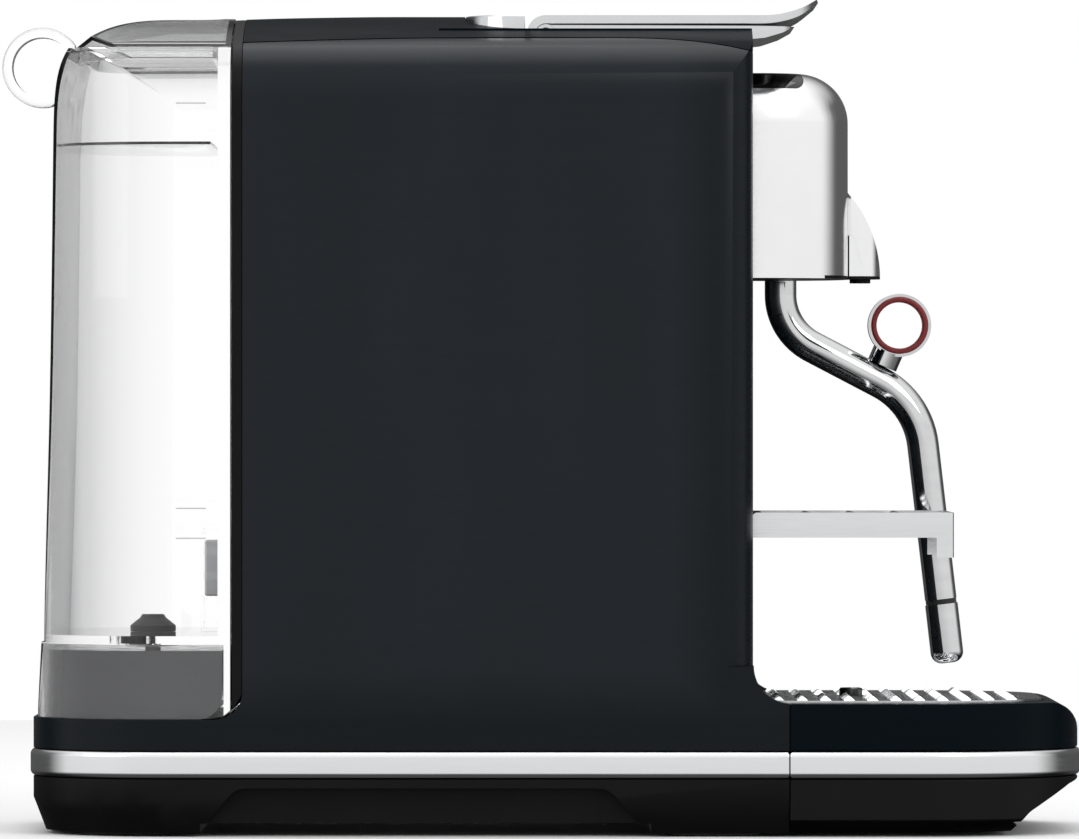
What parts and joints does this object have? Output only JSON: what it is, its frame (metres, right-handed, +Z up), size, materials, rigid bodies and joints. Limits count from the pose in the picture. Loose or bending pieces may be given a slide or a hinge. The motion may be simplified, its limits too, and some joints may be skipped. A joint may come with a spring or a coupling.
{
  "type": "pod coffee machine",
  "caption": "Countertop pod coffee machine with a lifting lever, clear rear water tank, steam wand, fold-up cup support and sliding drip tray",
  "frame": {"origin": "middle of the bounding box in plan, on the surface the feet stand on", "axes": "+X is the front (drip tray side), +Z is up, +Y is the side of the steam wand"},
  "size_m": [0.433, 0.195, 0.3324],
  "materials": {
    "painted_cover": "satin dark blue-black paint",
    "black_plastic": "fine matt texture",
    "grey_plastic": "glossy dark grey",
    "chrome_trim": "bright chrome",
    "satin_metal": "satin",
    "polished_steel": "polished stainless steel",
    "stainless": "brushed stainless steel",
    "clear_plastic": "clear moulded plastic",
    "black_gloss": "glossy black",
    "rubber": "matt",
    "red_silicone": "satin red",
    "aluminium_cast": "cast",
    "circuit_board": "green lacquer",
    "pump_plastic": "natural"
  },
  "bodies": {
    "root": {"base_band": "chrome_trim", "base_pan": "black_plastic", "brew_frame": "black_plastic", "cable_gland": "black_plastic", "capsule_cage": "pump_plastic", "circuit_boards": "circuit_board", "coffee_nozzle": "black_plastic", "coffee_thermoblock": "aluminium_cast", "container_bay": "black_plastic", "flow_meter": "black_plastic", "front_panel": "painted_cover", "head_floor": "black_plastic", "head_insert": "black_gloss", "head_shell": "satin_metal", "hinge_cap": "chrome_trim", "injection_block": "pump_plastic", "inner_frame": "black_plastic", "lever_pin": "stainless", "pump_mounts": "rubber", "rear_frame": "black_plastic", "rear_plinth": "painted_cover", "rubber_feet": "rubber", "sensor_arm": "black_plastic", "side_panel_left": "painted_cover", "side_panel_right": "painted_cover", "solenoid_valve": "pump_plastic", "steam_thermoblock": "aluminium_cast", "tank_pedestal": "grey_plastic", "top_cover": "painted_cover", "valve_socket": "black_plastic", "wand_socket": "chrome_trim", "water_hoses": "rubber", "water_pump": "pump_plastic"},
    "lever": {"lever_handle": "satin_metal", "lever_underside": "chrome_trim", "lever_cranks": "stainless"},
    "link": {"lever_link": "stainless"},
    "carriage": {"brew_carriage": "pump_plastic", "extraction_plate": "stainless"},
    "wand": {"steam_tube": "polished_steel", "wand_seal": "rubber", "wand_tip": "polished_steel", "finger_ring": "polished_steel", "ring_grip": "red_silicone"},
    "container": {"capsule_container": "black_plastic", "container_front": "painted_cover"},
    "support": {"cup_support": "stainless"},
    "tray": {"tray_housing": "painted_cover", "tray_base": "black_plastic", "tray_band": "chrome_trim", "drip_pan": "black_plastic"},
    "grid": {"drip_grid": "stainless"},
    "sensor": {"jug_sensor": "black_plastic"},
    "tank": {"water_tank": "clear_plastic", "float_cage": "clear_plastic"},
    "lid": {"tank_lid": "clear_plastic"},
    "valve": {"tank_valve": "black_plastic"},
    "float": {"level_float": "grey_plastic"},
    "coffee_key": {"coffee_button": "polished_steel"},
    "steam_key": {"steam_button": "polished_steel"}
  },
  "joints": [
    {"name": "lever_hinge", "type": "hinge", "parent": "root", "child": "lever", "pos_m": [0.0025, 0, 0.318], "axis": [0, -1, 0], "range_deg": [0, 75]},
    {"name": "link_hinge", "type": "hinge", "parent": "lever", "child": "link", "pos_m": [-0.01272, 0, 0.29817], "axis": [0, -1, 0], "range_deg": [-75.5, 0.5]},
    {"name": "carriage_slide", "type": "slide", "parent": "root", "child": "carriage", "axis": [1, 0, 0], "range_m": [-0.0001, 0.03054]},
    {"name": "wand_swing", "type": "hinge", "parent": "root", "child": "wand", "pos_m": [0.0987, 0.062, 0.25], "axis": [0, -1, 0], "range_deg": [0, 35]},
    {"name": "container_slide", "type": "slide", "parent": "root", "child": "container", "axis": [1, 0, 0], "range_m": [0, 0.1]},
    {"name": "support_fold", "type": "hinge", "parent": "container", "child": "support", "pos_m": [0.0889, 0, 0.1244], "axis": [0, -1, 0], "range_deg": [0, 90]},
    {"name": "tray_slide", "type": "slide", "parent": "root", "child": "tray", "axis": [1, 0, 0], "range_m": [0, 0.14]},
    {"name": "grid_lift", "type": "slide", "parent": "tray", "child": "grid", "axis": [0, 0, 1], "range_m": [0, 0.007]},
    {"name": "sensor_press", "type": "slide", "parent": "root", "child": "sensor", "axis": [0, 0, -1], "range_m": [0, 0.002], "stiffness_N_per_m": 300},
    {"name": "tank_lift", "type": "slide", "parent": "root", "child": "tank", "axis": [0, 0, 1], "range_m": [0, 0.1]},
    {"name": "lid_lift", "type": "slide", "parent": "tank", "child": "lid", "axis": [0, 0, 1], "range_m": [0, 0.03]},
    {"name": "valve_lift", "type": "slide", "parent": "tank", "child": "valve", "axis": [0, 0, 1], "range_m": [0, 0.0025], "stiffness_N_per_m": 150},
    {"name": "float_rise", "type": "slide", "parent": "tank", "child": "float", "axis": [0, 0, 1], "range_m": [-0.011, 0]},
    {"name": "coffee_press", "type": "slide", "parent": "root", "child": "coffee_key", "axis": [-1, 0, 0], "range_m": [0, 0.001], "stiffness_N_per_m": 600},
    {"name": "steam_press", "type": "slide", "parent": "root", "child": "steam_key", "axis": [-1, 0, 0], "range_m": [0, 0.001], "stiffness_N_per_m": 600}
  ],
  "couplings": [
    {"joint": "link_hinge", "follows": "lever_hinge", "ratio": -1},
    {"joint": "carriage_slide", "follows": "lever_hinge", "m_per_rad": 0.023253}
  ]
}
